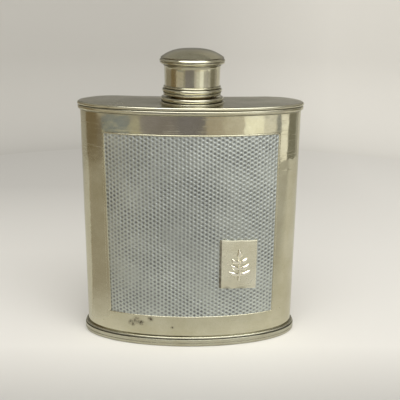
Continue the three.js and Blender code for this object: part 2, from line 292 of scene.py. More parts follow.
def coordinates(mesh):
    """The mesh's vertices as rows of x, y, z."""
    flat = np.empty(len(mesh.vertices) * 3)
    mesh.vertices.foreach_get("co", flat)
    return flat.reshape(-1, 3)


def rippled(points, depth):
    """Points moved in and out a little, as hand-worked sheet is."""
    if not depth:
        return points
    moved = points.copy()
    for i, place in enumerate(map(Vector, points)):
        sway = noise(place / (22 * MM)) + 0.3 * noise(place / (7 * MM))
        moved[i, :2] += PLAN[i % len(PLAN), 2:] * depth * sway
    return moved


# ---- materials


class Nodes:
    """A material's node tree, with short calls for the nodes used here."""

    def __init__(self, name):
        self.material = bpy.data.materials.new(name)
        self.material.use_nodes = True
        self.tree = self.material.node_tree
        self.shader = self.tree.nodes["Principled BSDF"]
        self.place = self.add("TexCoord").outputs["Object"]

    def add(self, kind, inputs=None, **settings):
        node = self.tree.nodes.new("ShaderNode" + kind)
        for key, value in settings.items():
            setattr(node, key, value)
        for key, value in (inputs or {}).items():
            self.set(node.inputs[key], value)
        return node

    def set(self, socket, value):
        if isinstance(value, bpy.types.NodeSocket):
            self.tree.links.new(value, socket)
        else:
            socket.default_value = value

    def stretched(self, scale, turn=(0, 0, 0)):
        mapping = self.add("Mapping", {"Vector": self.place, "Scale": scale, "Rotation": turn})
        return mapping.outputs["Vector"]

    def noise(self, scale, detail, roughness, vector=None, distortion=0.0):
        inputs = {
            "Vector": vector or self.place,
            "Scale": scale,
            "Detail": detail,
            "Roughness": roughness,
            "Distortion": distortion,
        }
        return self.add("TexNoise", inputs).outputs["Fac"]

    def ramp(self, value, low, high, low_out=0.0, high_out=1.0):
        inputs = {"Value": value, "From Min": low, "From Max": high, "To Min": low_out, "To Max": high_out}
        return self.add("MapRange", inputs, clamp=True).outputs["Result"]

    def math(self, operation, a, b):
        return self.add("Math", {0: a, 1: b}, operation=operation).outputs[0]

    def times(self, a, b):
        return self.math("MULTIPLY", a, b)

    def larger(self, a, b):
        return self.math("MAXIMUM", a, b)

    def blend(self, factor, a, b, mode="MIX"):
        node = self.add("Mix", {"Factor": factor}, data_type="RGBA", blend_type=mode)
        self.set(node.inputs[6], a)
        self.set(node.inputs[7], b)
        return node.outputs[2]

    def bump(self, height, distance, normal=None):
        inputs = {"Height": height, "Distance": distance}
        if normal is not None:
            inputs["Normal"] = normal
        return self.add("Bump", inputs).outputs["Normal"]

    def near(self, centre, inner, outer):
        """1 close to a point, falling to 0 at the outer distance."""
        offset = self.add("VectorMath", {0: self.place, 1: centre}, operation="DISTANCE")
        return self.ramp(offset.outputs["Value"], inner, outer, 1.0, 0.0)

    def shaded(self, colour, level):
        """The colour made lighter or darker by a level."""
        grey = self.add("CombineColor", {0: level, 1: level, 2: level}).outputs[0]
        return self.blend(1.0, colour, grey, "MULTIPLY")

    def shade(self, inputs):
        """Fills the shader's own sockets and gives the material."""
        for key, value in inputs.items():
            self.set(self.shader.inputs[key], value)
        return self.material


def rgba(r, g, b):
    return (r, g, b, 1.0)


# The dark brown used for real soiling and for painted shade in hollows.
DIRT_AND_SHADE = rgba(0.05, 0.036, 0.02)


def scratches(m):
    """Fine hairlines in three directions."""
    lines = None
    for turn, scale in (((0.15, 0.1, 0.4), 26), ((1.2, 0.4, 0.2), 19), ((0.6, 1.1, 0.9), 22)):
        vector = m.stretched((scale, scale, scale * 75), turn)
        hair = m.ramp(m.noise(1.0, 2, 0.5, vector, 0.25), 0.66, 0.72)
        lines = hair if lines is None else m.larger(lines, hair)
    patchy = m.ramp(m.noise(70, 2, 0.5), 0.42, 0.62)
    return m.times(lines, patchy)


def shade_and_dirt_in_hollows(m, distance, strength=0.6):
    """Painted shade in grooves and corners, from ambient occlusion, with some soiling."""
    open_sky = m.add("AmbientOcclusion", {"Distance": distance}, samples=6).outputs["AO"]
    uneven = m.ramp(m.noise(420, 4, 0.7), 0.3, 0.7, 0.7, 1.0)
    # Where little open sky reaches, the colour darkens: painted shade.
    closed = m.ramp(open_sky, 0.28, 0.72, strength, 0.0)
    return m.times(closed, uneven)


def stains(m, places):
    """Ragged dark marks, each given by its place and its size."""
    total = None
    ragged = m.ramp(m.noise(640, 4, 0.65), 0.36, 0.6)
    for place, size in places:
        mark = m.times(m.near(place, 0.3 * size, 1.2 * size), ragged)
        total = mark if total is None else m.larger(total, mark)
    return total


def pewter(
    name, colour, roughness, shade_and_dirt_reach=0.55 * MM, shade_and_dirt_strength=0.6, marks=(), has_grime_and_shade=False, dents=0.05 * MM
):
    """Worn, polished pewter: patina, hairlines, smudges, pits and stains, and painted shade with some soiling
    in the grooves.
    """
    m = Nodes(name)
    dull = tuple(c * f for c, f in zip(colour, (0.84, 0.82, 0.76)))
    patina = m.ramp(m.noise(60, 6, 0.62), 0.35, 0.68)
    speckle = m.ramp(m.noise(1500, 3, 0.7), 0.3, 0.7, 0.94, 1.04)
    tint = m.shaded(m.blend(patina, rgba(*dull), rgba(*colour)), speckle)
    pits = m.ramp(m.noise(650, 2, 0.5), 0.74, 0.78)
    # Painted shade in the grooves from ambient occlusion, together with real pits; real stains, and the small
    # plate's painted shade and soiling, join it below.
    dirt_and_shade = m.larger(shade_and_dirt_in_hollows(m, shade_and_dirt_reach, shade_and_dirt_strength), m.times(pits, 0.45))
    if marks:
        dirt_and_shade = m.larger(dirt_and_shade, m.times(stains(m, marks), 0.95))
    if has_grime_and_shade:
        # This attribute holds painted shade on the small plate's bevel and real soiling at its foot.
        grime_and_shade = m.add("Attribute", attribute_name="grime_and_shade").outputs["Fac"]
        uneven = m.ramp(m.noise(500, 4, 0.6), 0.3, 0.6, 0.6, 0.9)
        dirt_and_shade = m.larger(dirt_and_shade, m.times(grime_and_shade, uneven))
    hair = scratches(m)
    smudge = m.ramp(m.noise(38, 5, 0.65, distortion=0.6), 0.35, 0.7, -0.03, 0.08)
    rough = m.math("ADD", m.times(hair, 0.16), smudge)
    rough = m.math("ADD", rough, m.times(dirt_and_shade, 0.35))
    waves = m.bump(m.noise(130, 2, 0.45), dents)
    grain = m.bump(m.noise(2600, 3, 0.6), 0.002 * MM, normal=waves)
    return m.shade({
        "Base Color": m.blend(dirt_and_shade, tint, DIRT_AND_SHADE),
        "Roughness": m.math("ADD", rough, roughness),
        "Metallic": 1.0,
        "Normal": m.bump(hair, -0.006 * MM, normal=grain),
    })


def pressed_pewter(name, colour):
    """The matt panel: its net of ridges keeps the plain colour, and its dimples are darker the deeper they
    are.
    """
    m = Nodes(name)
    depth = m.add("Attribute", attribute_name="dimple").outputs["Fac"]
    tint = m.shaded(rgba(*colour), m.ramp(m.noise(55, 5, 0.6), 0.3, 0.7, 0.86, 1.06))
    middle = m.near((0.002, PLAN[:, 1].min(), 0.06), 0.006, 0.03)
    tint = m.blend(m.times(middle, 0.2), tint, rgba(0.16, 0.165, 0.16))
    # Darker the deeper each dimple is.
    darker_in_dimples = m.ramp(m.noise(95, 4, 0.6), 0.3, 0.7, 0.5, 0.92)
    darker_in_dimples = m.times(m.ramp(depth, 0.08, 0.85), darker_in_dimples)
    rough = m.ramp(m.noise(900, 4, 0.65), 0.3, 0.7, 0.24, 0.4)
    return m.shade({
        "Base Color": m.blend(darker_in_dimples, tint, rgba(0.13, 0.135, 0.135)),
        "Roughness": m.math("ADD", rough, m.times(depth, 0.15)),
        "Metallic": 1.0,
        "Normal": m.bump(m.noise(1400, 4, 0.65), 0.02 * MM),
    })


def brass(name):
    """Dull turned brass: fine turning lines and brown tarnish."""
    m = Nodes(name)
    tarnish = m.ramp(m.noise(240, 5, 0.65), 0.35, 0.7)
    tint = m.blend(tarnish, rgba(0.5, 0.36, 0.17), rgba(0.66, 0.53, 0.32))
    lines = m.noise(1.0, 2, 0.5, m.stretched((90, 90, 5200)))
    return m.shade({
        # The dark blend in the thread's hollows is painted shade from ambient occlusion, with some soiling.
        "Base Color": m.blend(shade_and_dirt_in_hollows(m, 0.7 * MM), tint, DIRT_AND_SHADE),
        "Roughness": m.ramp(lines, 0.3, 0.7, 0.24, 0.42),
        "Metallic": 1.0,
        "Normal": m.bump(lines, 0.01 * MM),
    })


def cork(name):
    """Pressed cork: light granules with dark pores."""
    m = Nodes(name)
    grains = m.add("TexVoronoi", {"Vector": m.place, "Scale": 900}).outputs["Distance"]
    pores = m.ramp(m.noise(1100, 4, 0.7), 0.56, 0.66)
    tint = m.blend(m.ramp(grains, 0.1, 0.7), rgba(0.56, 0.36, 0.2), rgba(0.36, 0.21, 0.11))
    return m.shade({
        "Base Color": m.blend(pores, tint, rgba(0.1, 0.055, 0.03)),
        "Roughness": m.ramp(grains, 0.1, 0.7, 0.78, 0.95),
        "Normal": m.bump(m.math("SUBTRACT", grains, pores), 0.12 * MM),
    })


# ---- body


def build_wall(metal):
    """The wall, with a small dent low on the left."""
    dent = front_points(along_at(-22.5 * MM), WALL_FACE, 11.5 * MM)
    dent_size = np.array([5.0, 5.0, 1.6])
    rings = []
    for z in np.linspace(WALL_LOW.z, WALL_HIGH.z, 150):
        ring = rippled(plan_ring(WALL_FACE, z), 0.055 * MM)
        away = np.linalg.norm((ring - dent) / dent_size / MM, axis=1)
        ring[:, :2] -= PLAN[:, 2:] * (0.22 * MM * np.exp(-away**2))[:, None]
        rings.append(ring)
    for z in np.linspace(WALL_HIGH.z, WALL_LOW.z, 4):
        rings.append(plan_ring(WALL_FACE - WALL_THICKNESS, z))
    shape = loft(rings, True)
    add_piece("flask_wall", shape, metal, ["wall_front", "wall_back"])


def neck_circle(radius, z):
    """A ring round the neck whose points lie in line with the plan's."""
    angle = np.arctan2(PLAN[:, 1], PLAN[:, 0] - NECK_X)
    x = NECK_X + radius * np.cos(angle)
    return np.column_stack([x, radius * np.sin(angle), np.full(len(PLAN), z)])


def build_top_plate(metal):
    """The top plate with its half-round nosing, a slight sag and its hole for the neck."""
    hole_radius = 8.9 * MM
    bottom, top = TOP_LOW.z, TOP_HIGH.z
    nosing = bead(-0.8 * MM, 0.8 * MM, bottom, top, 16)
    rings = [rippled(plan_ring(offset, z), 0.05 * MM) for offset, z in nosing]
    edge, hole = plan_ring(nosing[-1][0], top), neck_circle(hole_radius, top)
    for share in np.linspace(0, 1, 26)[1:]:
        ring = edge * (1 - share) + hole * share
        sag = [0.09 * MM * noise(place / (16 * MM)) for place in map(Vector, ring)]
        ring[:, 2] += np.array(sag) * sin(pi * share)
        rings.append(ring)
    edge, hole = plan_ring(-1.2 * MM, bottom), neck_circle(hole_radius, bottom)
    rings += [hole * (1 - share) + edge * share for share in np.linspace(0, 1, 6)]
    add_piece("flask_top_plate", loft(rings, True), metal, ["top_plate"])


def build_top_bead(metal):
    """A half-round bead under the nosing, with a fine raised line below it."""
    low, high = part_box("top_bead")
    bottom, top = low.z - 0.42 * MM, high.z + 0.1 * MM
    line = bead(-1.1 * MM, 0.16 * MM, bottom, low.z - 0.12 * MM, 6)
    face = bead(-0.75 * MM, 0.6 * MM, low.z + 0.02 * MM, top)
    profile = np.vstack([[MOULDING_BACK, bottom], line, face, [MOULDING_BACK, top]])
    plan_piece("flask_top_bead", profile, metal, ["top_bead"], BEAD_RIPPLE)


def plate_fan(offset, z):
    """Rings that close a plate at one height, from its edge to near the neck's axis."""
    edge, middle = plan_ring(offset, 0), neck_circle(1 * MM, 0)
    return [edge * (1 - share) + middle * share + (0, 0, z) for share in np.linspace(0.12, 1, 8)]


def build_base_plate(metal):
    """The base plate, with its rounded lower edge."""
    bottom, top = BASE_LOW.z, BASE_HIGH.z + BASE_OVERLAP
    edge = rounded(
        corners(BASE_FACE, bottom, ((-1.4, 0, 0.15), (-0.3, 0, 0.2), (0, 0.4, 0.3)))
        + [(BASE_FACE, top, 0.08 * MM), (-0.6 * MM, top, 0.05 * MM)],
        6,
    )
    rings = plate_fan(edge[0][0], bottom)[::-1] + [plan_ring(offset, z) for offset, z in edge]
    rings += plate_fan(edge[-1][0], top)
    add_piece("flask_base_plate", loft(rings, False), metal, ["base_plate"])


def build_base_mouldings(metal):
    """The stepped band on the base plate and the bead on top of it."""
    low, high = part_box("base_band")
    band = rounded(
        [(MOULDING_BACK, BASE_HIGH.z + BASE_OVERLAP, 0)]
        + corners(BASE_FACE, low.z, ((-0.15, -0.05, 0.1), (0, 0.2, 0.15)))
        + corners(BASE_FACE, high.z, ((0, -0.1, 0.12), (-0.15, 0.02, 0.1)))
        + [(-0.65 * MM, high.z + 0.02 * MM, 0.1 * MM), (MOULDING_BACK, high.z + 0.05 * MM, 0)],
        5,
    )
    plan_piece("flask_base_band", band, metal, ["base_band"])

    low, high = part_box("base_bead")
    top = high.z - 0.25 * MM
    nose = bead(-0.6 * MM, 0.6 * MM, low.z, top)
    profile = np.vstack([[MOULDING_BACK, low.z], nose, [MOULDING_BACK, top]])
    plan_piece("flask_base_bead", profile, metal, ["base_bead"], BEAD_RIPPLE)


# ---- textured panel

PANEL_DEPTH = 0.45 * MM
PANEL_MARGIN = 0.35 * MM
CUT_REACH = 0.01 * MM
CELL = 1.9 * MM
DIMPLE_DEPTH = 0.3 * MM
# How much the border is wider at the foot and the top of its left side, and along its other sides.
LOW_SPREAD = 1.5 * MM
TOP_SPREAD = 0.5 * MM
SIDE_SPREAD = 0.4 * MM
# The border's section in millimetres: outward along the panel, and proud of its face.
BORDER_SECTION = (
    (0.36, -0.42), (0.36, -0.05), (0.28, 0.1), (0.12, 0.18),
    (-0.1, 0.18), (-0.24, 0.1), (-0.32, -0.05), (-0.32, -0.42),
)
# Rings of a dimple from its rim to near its middle: share of the cell's half width, share of the depth.
DIMPLE_RINGS = ((0.84, 0.06), (0.66, 0.46), (0.4, 0.88))


def cell_outline(u, v, vertices, shared):
    """The cell's corners and the middles of its sides, which it shares with the cells beside it."""
    outline = []
    for k, (c, s) in enumerate(SPOKES):
        reach = CELL / 2 if k % 2 else CELL / sqrt(3)
        x, y = u + reach * c, v + reach * s
        key = (round(x / CELL * 100), round(y / CELL * 100))
        if key not in shared:
            shared[key] = len(vertices)
            vertices.append((x, y, 0.0))
        outline.append(shared[key])
    return outline


def add_cell(u, v, vertices, faces, shared):
    """One hexagonal cell with a round dimple, more or less worn."""
    worn = 0.8 + 0.45 * noise(Vector((u, v, 3 * MM)) / (14 * MM))
    worn += 0.3 * noise(Vector((u, v, 8 * MM)) / (2.5 * MM))
    rings = [cell_outline(u, v, vertices, shared)]
    for share, depth in DIMPLE_RINGS:
        radius = share * CELL / 2
        rings.append(list(range(len(vertices), len(vertices) + SIDES)))
        vertices += [(u + radius * c, v + radius * s, -DIMPLE_DEPTH * depth * worn) for c, s in SPOKES]
    middle = len(vertices)
    vertices.append((u, v, -DIMPLE_DEPTH * worn))
    for k in range(SIDES):
        n = (k + 1) % SIDES
        for first, second in zip(rings, rings[1:]):
            faces.append((first[k], first[n], second[n], second[k]))
        faces.append((rings[-1][k], rings[-1][n], middle))


def honeycomb(width, height):
    """A flat net of dimpled cells, as vertices (u, v, depth) and faces."""
    column_step = CELL * sqrt(3) / 2
    columns = int(width / 2 / column_step) + 2
    rows = int(height / 2 / CELL) + 2
    vertices, faces, shared = [], [], {}
    for column in range(-columns, columns + 1):
        for row in range(-rows, rows + 1):
            v = (row + 0.5 * (column % 2)) * CELL
            add_cell(column * column_step, v, vertices, faces, shared)
    return np.array(vertices), faces


def trim(sheet, half_width, half_height, height):
    """Cuts the net to the panel's outline, with a slanted left side and its corners cut off."""
    slant = (LOW_SPREAD - TOP_SPREAD) / height
    left_cut = -half_width + (LOW_SPREAD + TOP_SPREAD) / 2
    cuts = [
        ((half_width - SIDE_SPREAD, 0), (1, 0)),
        ((left_cut, 0), (-1, -slant)),
        ((0, half_height), (0, 1)),
        ((0, -half_height), (0, -1)),
    ]
    corner = 0.6 * MM
    for sx in (-1, 1):
        for sy in (-1, 1):
            cuts.append(((sx * (half_width - corner), sy * (half_height - corner)), (sx, sy)))
    for point, normal in cuts:
        bmesh.ops.bisect_plane(
            sheet, geom=sheet.verts[:] + sheet.edges[:] + sheet.faces[:], dist=CUT_REACH,
            plane_co=(*point, 0), plane_no=(*normal, 0), clear_outer=True,
        )


def close_behind(sheet, half_width):
    """Turns the net's edge back and closes it with a back of narrow strips, which can bend."""
    rim = [edge for edge in sheet.edges if edge.is_boundary]
    made = bmesh.ops.extrude_edge_only(sheet, edges=rim)["geom"]
    back_edges = [e for e in made if isinstance(e, bmesh.types.BMEdge) and e.is_boundary]
    for vertex in {v for edge in back_edges for v in edge.verts}:
        vertex.co.z = -PANEL_DEPTH
    back = bmesh.ops.edgeloop_fill(sheet, edges=back_edges)["faces"]
    strip = 2.5 * MM
    for u in np.arange(-half_width + strip, half_width, strip):
        geometry = back + list({e for f in back for e in f.edges}) + list({v for f in back for v in f.verts})
        split = bmesh.ops.bisect_plane(
            sheet, geom=geometry, plane_co=(u, 0, 0), plane_no=(1, 0, 0), dist=CUT_REACH,
        )
        back = list({g for g in split["geom"] if isinstance(g, bmesh.types.BMFace)} | set(back))


def build_panel(metal, border_metal):
    """The pressed sheet, trimmed to its outline, closed behind and bent to the front, with its border."""
    face_offset = WALL_FACE + PANEL_DEPTH
    left, right = along_at(PANEL_LOW.x, face_offset), along_at(PANEL_HIGH.x, face_offset)
    width, height = right - left, PANEL_HIGH.z - PANEL_LOW.z
    vertices, faces = honeycomb(width, height)
    for vertex in vertices:
        place = Vector((vertex[0], vertex[1], 0)) / (17 * MM)
        vertex[0] += 0.22 * MM * noise(place)
        vertex[1] += 0.22 * MM * noise(place + Vector((5, 5, 5)))
    mesh = new_mesh("honeycomb_panel", vertices.tolist(), faces)
    sheet = bmesh.new()
    sheet.from_mesh(mesh)
    half_width = width / 2 - PANEL_MARGIN
    trim(sheet, half_width, height / 2 - PANEL_MARGIN, height)
    close_behind(sheet, half_width)
    bmesh.ops.recalc_face_normals(sheet, faces=sheet.faces)
    sheet.to_mesh(mesh)
    sheet.free()
    flat = coordinates(mesh)
    depth = mesh.attributes.new("dimple", "FLOAT", "POINT")
    depth.data.foreach_set("value", np.clip(-flat[:, 2] / DIMPLE_DEPTH, 0, 1))
    middle_z = (PANEL_LOW.z + PANEL_HIGH.z) / 2
    bent = front_points(flat[:, 0] + (left + right) / 2, face_offset + flat[:, 2], flat[:, 1] + middle_z)
    mesh.vertices.foreach_set("co", bent.ravel())
    add_object("honeycomb_panel", mesh, metal, ["front_panel"], "flask", 60)
    build_border(border_metal, left, right)


def rounded_path(left, right, bottom, top, radius, spacing):
    """Points round a rectangle with round corners, each with its outward direction."""
    path = []
    turns = ((right, bottom, -90), (right, top, 0), (left, top, 90), (left, bottom, 180))
    for k, (a, b, start) in enumerate(turns):
        centre_a = a - copysign(radius, a - (left + right) / 2)
        centre_b = b - copysign(radius, b - (bottom + top) / 2)
        for degrees in np.linspace(start, start + 90, 9):
            c, s = cos(radians(degrees)), sin(radians(degrees))
            path.append((centre_a + radius * c, centre_b + radius * s, c, s))
        after = turns[(k + 1) % 4]
        upright = k % 2 == 0
        run = after[1] - b if upright else after[0] - a
        steps = int(abs(run) / spacing)
        here = path[-1]
        for i in range(1, steps):
            move = copysign((abs(run) - 2 * radius) * i / steps, run)
            across, up = (0, move) if upright else (move, 0)
            path.append((here[0] + across, here[1] + up, here[2], here[3]))
    return path


def build_border(metal, left, right):
    """The thin raised border of the panel, bent to the front. It is wider down the left side."""
    bottom, top, margin = PANEL_LOW.z, PANEL_HIGH.z, PANEL_MARGIN
    path = rounded_path(
        left + margin, right - margin, bottom + margin, top - margin, radius=1.1 * MM, spacing=0.5 * MM
    )
    rings = []
    for along, z, out_along, out_z in path:
        wander = 0.07 * MM * noise(Vector((along, z, 0)) / (4 * MM))
        wander += 0.06 * MM * cos(2 * pi * z / CELL)
        spread = SIDE_SPREAD
        if out_along < 0:
            share = (z - bottom) / (top - bottom)
            spread = LOW_SPREAD + (TOP_SPREAD - LOW_SPREAD) * share
        ring = []
        for a, b in BORDER_SECTION:
            reach = a * MM + wander
            inward = spread * abs(out_along) if a < 0 else 0
            offset = WALL_FACE + (0.47 + b) * MM
            ring.append(front_points(along + out_along * (reach - inward), offset, z + out_z * reach))
        rings.append(np.array(ring))
    add_piece("panel_border", loft(rings, True), metal)


# ---- small plate and its ornament

PLATE_FACE = WALL_FACE + 1.15 * MM
PLATE_DROP = 1 * MM
PLATE_BEVEL = 0.75 * MM
LEAF_HEIGHT = 1.05 * MM


def plate_drop(along):
    """How far the small plate's edges have fallen at a place along the front."""
    left, right = along_at(PLATE_LOW.x, PLATE_FACE), along_at(PLATE_HIGH.x, PLATE_FACE)
    return PLATE_DROP * (along - left) / (right - left)


def cartouche_shape(left, right, bottom, top):
    """The small plate: a curved sheet with soft, ragged edges and a wide bevel on its left."""
    wide, tall = 90, 110
    grid_a, grid_b = np.meshgrid(np.linspace(left, right, wide), np.linspace(bottom, top, tall))
    places = [Vector((u, v, 0)) for u, v in zip(grid_a.ravel(), grid_b.ravel())]

    def wander(size):
        return np.array([noise(place / size) for place in places]).reshape(grid_a.shape)

    edge = np.minimum(right - grid_a, np.minimum(grid_b - bottom, top - grid_b))
    fall = 0.14 * MM * (1 - np.clip(edge / (0.3 * MM), 0, 1)) ** 2
    fall += 0.55 * MM * (1 - np.clip((grid_a - left) / PLATE_BEVEL, 0, 1))
    ragged = 0.1 * MM * wander(2.2 * MM)
    heights = grid_b + ragged - plate_drop(grid_a)
    face = front_points(grid_a + ragged, PLATE_FACE - fall + 0.06 * MM * wander(6 * MM), heights)
    back = front_points(grid_a + ragged, WALL_FACE + 0.1 * MM, heights)
    behind = wide * tall
    faces = []
    for j in range(tall - 1):
        for k in range(j * wide, (j + 1) * wide - 1):
            faces.append((k, k + 1, k + wide + 1, k + wide))
            faces.append((k + behind, k + wide + behind, k + wide + 1 + behind, k + 1 + behind))
    index = np.arange(behind).reshape(tall, wide)
    outline = np.hstack([index[0], index[1:, -1], index[-1, -2::-1], index[-2:0:-1, 0]]).tolist()
    for here, after in zip(outline, outline[1:] + outline[:1]):
        faces.append((here, here + behind, after + behind, after))
    return np.vstack([face.reshape(-1, 3), back.reshape(-1, 3)]), faces


def add_grime_and_shade(mesh, left, right, bottom, top):
    """Painted shade along the small plate's bevel, where its side lies in shadow; soiling in two places at
    its foot; and the plate a little darker lower down.
    """
    points = coordinates(mesh)
    along = along_at(points[:, 0], PLATE_FACE)
    above = points[:, 2] + plate_drop(along) - bottom
    # The bevel's darkening is painted shade.
    bevel = np.clip(1 - (along - left - PLATE_BEVEL) / (0.15 * MM), 0, 1)
    foot = np.zeros(len(along))
    for place, reach in ((0.2, 2.4 * MM), (0.58, 3.2 * MM)):
        across = np.abs(along - left - place * (right - left)) / reach
        foot = np.maximum(foot, np.clip(1 - across**2 - above / (1.5 * MM), 0, 1))
    fade = np.clip(1 - above / (top - bottom), 0, 1)
    grime_and_shade = mesh.attributes.new("grime_and_shade", "FLOAT", "POINT")
    grime_and_shade.data.foreach_set("value", np.maximum(bevel * 0.85, foot * 0.55) + 0.1 * fade)


def build_cartouche(metal):
    left, right = along_at(PLATE_LOW.x, PLATE_FACE) - 0.35 * MM, along_at(PLATE_HIGH.x, PLATE_FACE)
    outline = (left, right, PLATE_LOW.z + PLATE_DROP, PLATE_HIGH.z)
    piece = add_piece("cartouche", cartouche_shape(*outline), metal, ["cartouche_plate"])
    add_grime_and_shade(piece.data, *outline)


def leaf_blade(foot, angle, length, width):
    """A domed, pointed leaf with a groove down its middle, as vertices (across, up, proud) and faces."""
    rings = []
    direction = np.array([cos(angle), sin(angle)])
    side = np.array([-direction[1], direction[0]])
    for t in np.linspace(0.03, 0.97, 20):
        half = width / 2 * sin(pi * t**0.8) ** 0.9
        bend = copysign(0.1 * length * sin(pi * t), cos(angle))
        ring = []
        for c, s in SPOKES:
            across = half * c
            proud = LEAF_HEIGHT * s * (sin(pi * t) ** 0.5)
            if proud > 0:
                proud *= 1 - 0.15 * exp(-((across / (0.14 * width)) ** 2))
            point = foot + direction * (t * length) + side * (across - bend)
            ring.append((*point, max(proud, -0.25 * MM)))
        rings.append(np.array(ring))
    return loft(rings, False)


def stem_tube(points, start_radius, end_radius):
    """A tapering round stem through points in the plate's plane."""
    rings = []
    for i, point in enumerate(points):
        ahead = points[min(i + 1, len(points) - 1)] - points[max(i - 1, 0)]
        ahead /= np.linalg.norm(ahead)
        side = np.array([-ahead[1], ahead[0]])
        radius = start_radius + (end_radius - start_radius) * i / (len(points) - 1)
        rings.append(np.array([(*(point + side * radius * c), radius * 1.1 * s) for c, s in SPOKES]))
    return loft(rings, False)


def sprig_shapes(height):
    """The sprig's stem, its three pairs of leaves and the leaf at its tip."""
    up = np.linspace(0, 0.72 * height, 25)
    stem = [np.array([0.03 * height * sin(5 * u / height), u]) for u in up]
    shapes = [stem_tube(stem, 0.66 * MM, 0.42 * MM)]
    for i in range(3):
        length = height * (0.36 - 0.03 * i)
        for side in (-1, 1):
            angle = pi / 2 + side * (1.2 - 0.12 * i)
            shapes.append(leaf_blade(stem[6 + 6 * i], angle, length, 2.2 * MM))
    tip = stem[-1] - np.array([0, 0.5 * MM])
    shapes.append(leaf_blade(tip, pi / 2, height * 0.31, 2.3 * MM))
    return shapes


def in_one_skin(name, shapes):
    """The shapes remeshed into one smooth skin, as a casting has."""
    vertices, faces = [], []
    for shape_vertices, shape_faces in shapes:
        start = len(vertices)
        vertices.extend(shape_vertices.tolist())
        faces.extend([tuple(k + start for k in face) for face in shape_faces])
    cast = linked(name + "_parts", new_mesh(name + "_parts", vertices, faces))
    remesh = cast.modifiers.new("skin", "REMESH")
    remesh.mode = "VOXEL"
    remesh.voxel_size = 0.075 * MM
    smooth = cast.modifiers.new("soften", "SMOOTH")
    smooth.factor = 0.5
    smooth.iterations = 2
    bpy.context.view_layer.update()
    mesh = bpy.data.meshes.new_from_object(cast.evaluated_get(bpy.context.evaluated_depsgraph_get()))
    bpy.data.objects.remove(cast)
    mesh.name = name
    return mesh


def build_sprig(metal):
    """A cast laurel sprig, bent to the plate."""
    low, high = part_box("sprig_ornament")
    mesh = in_one_skin("laurel_sprig", sprig_shapes(high.z - low.z))
    flat = coordinates(mesh)
    middle = along_at((low.x + high.x) / 2, PLATE_FACE)
    bent = front_points(flat[:, 0] + middle, PLATE_FACE + flat[:, 2] + 0.02 * MM, flat[:, 1] + low.z)
    mesh.vertices.foreach_set("co", bent.ravel())
    add_object("laurel_sprig", mesh, metal, ["sprig_ornament"], sharp_degrees=80)


# ---- neck

PITCH = 3 * MM
THREAD_START = 4.4 * MM
THREAD_RUN_OUT = 0.6 * MM


def threaded_tube(node, smooth_radius, surface_radius, crest_radius, start, turns):
    """A tube as tall as the CAD node, with one smooth wall and one threaded wall."""
    bottom, top = heights_of(node)
    angle = np.arange(SEGMENTS) / SEGMENTS * 2 * pi
    rings = []
    for z in np.linspace(bottom, top, int((top - bottom) / (0.12 * MM))):
        turn = (z - start) / PITCH - angle / (2 * pi)
        nearest = np.abs(turn - np.round(turn)) * PITCH
        ridge = np.clip((0.65 * MM - nearest) / (0.35 * MM), 0, 1)
        ridge = ridge * ridge * (3 - 2 * ridge)
        passed = np.clip((z - start) / THREAD_RUN_OUT, 0, 1)
        left = np.clip((start + turns * PITCH - z) / THREAD_RUN_OUT, 0, 1)
        radius = surface_radius + (crest_radius - surface_radius) * ridge * passed * left
        rings.append(circle(radius, TOP_Z + z, NECK_X))
    rings += [circle(smooth_radius, TOP_Z + z, NECK_X) for z in (top, bottom)]
    return loft(rings, True)


def build_neck(metal, thread_metal):
    """The threaded neck, and the moulded collar at its foot."""
    tube = threaded_tube("neck_tube", 7.3 * MM, 8.6 * MM, 9.45 * MM, THREAD_START, 3.2)
    add_piece("flask_neck", tube, thread_metal, ["neck_tube"], "flask")

    edge, inside = radius_of("neck_collar"), 8.7 * MM
    top = COLLAR_HIGH.z - TOP_Z
    flange = corners(edge, 0, ((0, -0.05, 0.05), (0, 0.45, 0.3), (-0.9, 0.62, 0.12)))
    crown = corners(edge, top, ((-1.4, -0.1, 0.1),)) + corners(inside, top, ((1.2, 0, 0.1), (0, 0, 0)))
    profile = np.vstack([
        rounded([(inside, -0.05 * MM, 0)] + flange),
        bead(edge - 1.2 * MM, 0.75 * MM, 0.75 * MM, top - 0.15 * MM),
        rounded(crown),
    ])
    turned_piece("flask_neck_collar", profile, metal, ["neck_collar"], "flask")


# ---- cap


def build_cap_foot(metal):
    """The moulding round the cap's lower end: three beads."""
    bottom, top = heights_of("cap_foot_ring")
    foot, inside = radius_of("cap_foot_ring"), 11.8 * MM
    lip = bead(foot - 0.8 * MM, 0.35 * MM, bottom, bottom + 1 * MM, 8)
    main = bead(foot - 0.6 * MM, 0.6 * MM, bottom + 1.1 * MM, bottom + 2.75 * MM)
    fillet = bead(foot - 0.95 * MM, 0.4 * MM, bottom + 2.9 * MM, top - 0.15 * MM, 8)
    profile = np.vstack([[inside, bottom], lip, main, fillet, [inside, top + 0.1 * MM]])
    turned_piece("cap_foot_moulding", profile, metal, ["cap_foot_ring"])


def build_cap_band(metal):
    """The side band, which flares out to a groove under the rim."""
    bottom, top = heights_of("cap_band")
    bore, low_radius, groove_radius = 11.15 * MM, 11.75 * MM, 12.05 * MM
    start, end = 7.35 * MM, top - 0.45 * MM
    band = [(bore, bottom), (low_radius, bottom), (low_radius, start - 0.15 * MM)]
    for t in np.linspace(0, 1, 24):
        flare = 0.14 * t + 0.3 * t**14
        band.append((12 * MM + flare * MM, start + (end - start) * t))
    band += [(groove_radius, top - 0.42 * MM), (groove_radius, top + 0.15 * MM)]
    band += [(11.5 * MM, top + 0.15 * MM), (bore, top - 1.2 * MM)]
    turned_piece("cap_side_band", band, metal, ["cap_band"])


